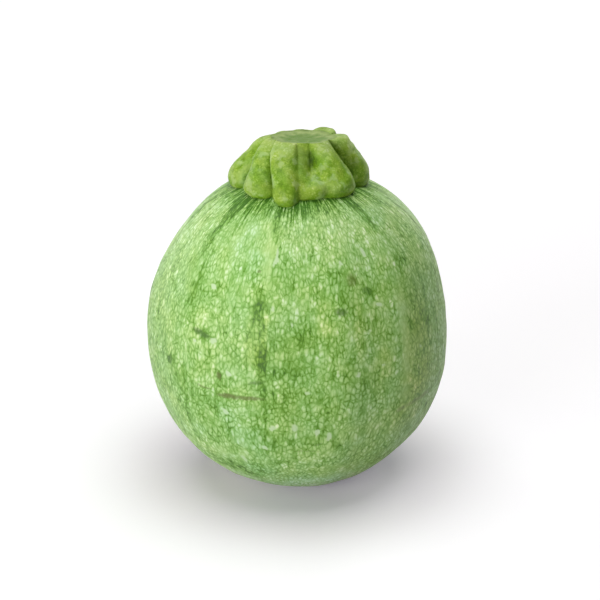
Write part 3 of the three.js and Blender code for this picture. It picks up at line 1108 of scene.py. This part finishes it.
def make_rind():
    material, nodes = new_material("stem_rind")
    place_mm = nodes.millimetres()
    crest = nodes.read("crest")
    from_rim = nodes.read("from_rim")
    grain = nodes.noise(place_mm, RIND_GRAIN_SIZE, 3.0)
    mottle = nodes.noise(place_mm, MOTTLE_SIZE, 3.0)
    broad = nodes.noise(place_mm, BROAD_SIZE)

    # Freckles and mottling on the ridges, dark grooves that are partly painted shade, and a painted
    # highlight in a pale line round the rim of the cut.
    rim = nodes.math("ABSOLUTE", nodes.minus(from_rim, 0.1))
    light = nodes.plus(
        nodes.ease(crest, 0.0, 0.8, *RIDGE_LIGHT_GROOVE_SHADE),
        nodes.times(freckles(nodes, place_mm), FRECKLE_LIGHT),
        nodes.centred(grain, RIND_GRAIN_LIGHT),
        nodes.centred(mottle, MOTTLE_LIGHT),
        nodes.centred(broad, BROAD_LIGHT),
        nodes.ease(rim, 0.0, RIM_HIGHLIGHT_WIDTH, RIM_PAINTED_HIGHLIGHT, 0.0),
    )
    base = nodes.ramp(light, STEM_TONES)

    # Wax in clouds, most of it on the ridges, where it is partly a painted highlight.
    clouds = nodes.ease(nodes.noise(nodes.warp(place_mm, *CLOUD_JITTER), CLOUD_SIZE, 3.0), 0.52, 0.66)
    wax_and_highlight = nodes.times(clouds, nodes.ease(crest, 0.1, 0.8, *RIND_WAX_AND_HIGHLIGHT))
    paler = nodes.times(patches(nodes, place_mm, PALE_PATCHES), nodes.ease(mottle, 0.3, 0.6))
    base = nodes.mix(nodes.plus(wax_and_highlight, paler), base, STEM_WAX_AND_HIGHLIGHT)
    base = nodes.mix(patches(nodes, place_mm, OLIVE_PATCHES), base, OLIVE)
    base = nodes.tinted(1.0, base, nodes.mix(nodes.ease(broad, 0.35, 0.65), STEM_COOL, STEM_WARM))

    # The rind ends in a ragged edge on the cut.
    ragged = nodes.plus(from_rim, nodes.centred(broad, 3.0))
    flesh = dried_flesh(nodes, from_rim, mottle, grain)
    base = nodes.mix(nodes.ease(ragged, -2.4, 1.3, 1.0, 0.0), base, flesh)
    roughness = nodes.ease(grain, 0.3, 0.7, *RIND_ROUGHNESS)
    nodes.finish(base, roughness, RIND_SHINE, light, RIND_DEPTH)
    return material


# ---------------------------------------------------------------- stage

CAMERA_LENS = 115.0
CAMERA_CLIP_END = 20.0  # metres
CAMERA_ELEVATION = 21.0
CAMERA_DISTANCE = 523.0
AIM_OFFSET = Vector((0.85, -0.1, 1.55))  # from the middle of the CAD's box to what the camera aims at
WORLD_LIGHT = 0.02
WORLD_REFLECTED = 0.75
FLOOR_SIZE = 6.0  # metres

# The paper's colour to the camera. Near the fruit it is tinted against the green that the fruit
# throws on it, more on the left, and the tint fades from NEAR to FAR.
PAPER = (1.0, 0.985, 1.0, 1)
PAPER_NEAR_LEFT = (1.0, 0.885, 1.01, 1)
PAPER_NEAR_RIGHT = (1.0, 0.93, 1.0, 1)
PAPER_BOUNCE = (0.55, 0.55, 0.55, 1)  # its colour in the light that it throws back
NEAR = 20.0
FAR = 62.0
# The paper glows faintly, for the camera only. Under the fruit and in a ring round it, the glow evens
# out the shadow, which would be darker on the right. Further off it is the same all round, and it
# grows with the distance, because the lamps do not reach so far.
UNDER_GLOW_LEFT = (0.100, 0.085, 0.126, 1)
UNDER_GLOW_RIGHT = (0.200, 0.186, 0.224, 1)
RING_GLOW_LEFT = (0.025, 0.018, 0.034, 1)
RING_GLOW_RIGHT = (0.100, 0.093, 0.109, 1)
OPEN_GLOW = (0.12, 0.12, 0.12, 1)
DISTANT_GLOW = (0.26, 0.26, 0.26, 1)
UNDER_END = 28.0
RING_START = 45.0
RING_END = 55.0
OPEN_START = 120.0
OPEN_END = 250.0
DISTANT_START = 900.0


def make_camera():
    data = bpy.data.cameras.new("camera")
    data.lens = CAMERA_LENS
    data.clip_end = CAMERA_CLIP_END
    made = bpy.data.objects.new("camera", data)
    e = math.radians(CAMERA_ELEVATION)
    back = Vector((0, -math.cos(e), math.sin(e)))
    middle = (cad_low + cad_high) / 2
    made.location = middle + (AIM_OFFSET + back * CAMERA_DISTANCE) * MM
    made.rotation_euler = (math.pi / 2 - e, 0, 0)
    bpy.context.scene.collection.objects.link(made)
    bpy.context.scene.camera = made


def make_paper():
    material, nodes = new_material("floor_white")
    tree = nodes.tree
    tree.nodes.remove(tree.nodes["Principled BSDF"])
    rays = nodes.rays()
    place_mm = nodes.millimetres()
    away = nodes.length(place_mm)
    x = nodes.split(place_mm)[0]

    near = nodes.mix(nodes.ease(x, -NEAR, NEAR), PAPER_NEAR_LEFT, PAPER_NEAR_RIGHT)
    seen_tint = nodes.mix(nodes.ease(away, NEAR, FAR), near, PAPER)
    seen = nodes.larger(rays["Is Camera Ray"], rays["Is Glossy Ray"])
    paper = nodes.add("BsdfDiffuse", {"Color": nodes.mix(seen, PAPER_BOUNCE, seen_tint)})

    to_right = nodes.ease(x, 0.0, UNDER_END)
    under = nodes.mix(to_right, UNDER_GLOW_LEFT, UNDER_GLOW_RIGHT)
    ring = nodes.mix(to_right, RING_GLOW_LEFT, RING_GLOW_RIGHT)
    glow_tint = nodes.mix(nodes.ease(away, UNDER_END, RING_START), under, ring)
    glow_tint = nodes.mix(nodes.ease(away, RING_END, OPEN_START), glow_tint, OPEN_GLOW)
    glow_tint = nodes.mix(nodes.ease(away, OPEN_END, DISTANT_START), glow_tint, DISTANT_GLOW)
    glow = nodes.add("Emission", {"Color": glow_tint, "Strength": rays["Is Camera Ray"]})

    both = nodes.add("AddShader", {0: paper, 1: glow})
    nodes.plug(tree.nodes["Material Output"].inputs["Surface"], both)
    return material


def make_floor():
    half = FLOOR_SIZE / 2
    corners = [(-half, -half, 0), (half, -half, 0), (half, half, 0), (-half, half, 0)]
    mesh = bpy.data.meshes.new("floor")
    mesh.from_pydata(corners, [], [(0, 1, 2, 3)])
    mesh.materials.append(make_paper())
    made = bpy.data.objects.new("floor", mesh)
    bpy.context.scene.collection.objects.link(made)


def make_world():
    """Plain white to the camera, and dimmer in the light it gives and in reflections."""
    world = bpy.data.worlds.new("world")
    bpy.context.scene.world = world
    world.use_nodes = True
    nodes = Nodes(world.node_tree)
    rays = nodes.rays()
    level = nodes.blend(rays["Is Glossy Ray"], WORLD_LIGHT, WORLD_REFLECTED)
    level = nodes.blend(rays["Is Camera Ray"], level, 1.0)
    background = nodes.tree.nodes["Background"].inputs
    background["Color"].default_value = (1, 1, 1, 1)
    nodes.plug(background["Strength"], level)


def make_sun(name, elevation, spread, strength):
    """A broad light from the front at that elevation, or from overhead at 90."""
    data = bpy.data.lights.new(name, "SUN")
    data.energy = strength
    data.angle = math.radians(spread)
    made = bpy.data.objects.new(name, data)
    made.rotation_euler = (math.radians(90 - elevation), 0, 0)
    bpy.context.scene.collection.objects.link(made)


def make_softbox(name, azimuth, distance, height, size, power):
    """A square lamp, so many metres from the fruit's axis and from the floor, aimed at the fruit."""
    data = bpy.data.lights.new(name, "AREA")
    data.size = size
    data.energy = power
    made = bpy.data.objects.new(name, data)
    a = math.radians(azimuth)
    made.location = (distance * math.sin(a), -distance * math.cos(a), height)
    fruit_low, fruit_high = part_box("fruit")
    target = (fruit_low + fruit_high) / 2
    made.rotation_euler = (target - made.location).to_track_quat("-Z", "Y").to_euler()
    bpy.context.scene.collection.objects.link(made)


# ---------------------------------------------------------------- scene

make_camera()
make_floor()
make_world()
make_sun("top", elevation=90, spread=56, strength=2.36)
make_softbox("key", azimuth=-38, distance=0.55, height=0.06, size=0.35, power=2.9)
make_softbox("right rim", azimuth=144, distance=0.60, height=0.20, size=0.30, power=0.28)
make_softbox("left rim", azimuth=-125, distance=0.60, height=0.12, size=0.40, power=0.85)
bpy.context.scene.view_settings.view_transform = "Standard"

fruit = make_fruit()
fruit.data.materials.append(make_skin())
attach(fruit, "root")
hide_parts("fruit")

stem = make_stem()
stem.data.materials.append(make_rind())
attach(stem, "root")
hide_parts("stem")
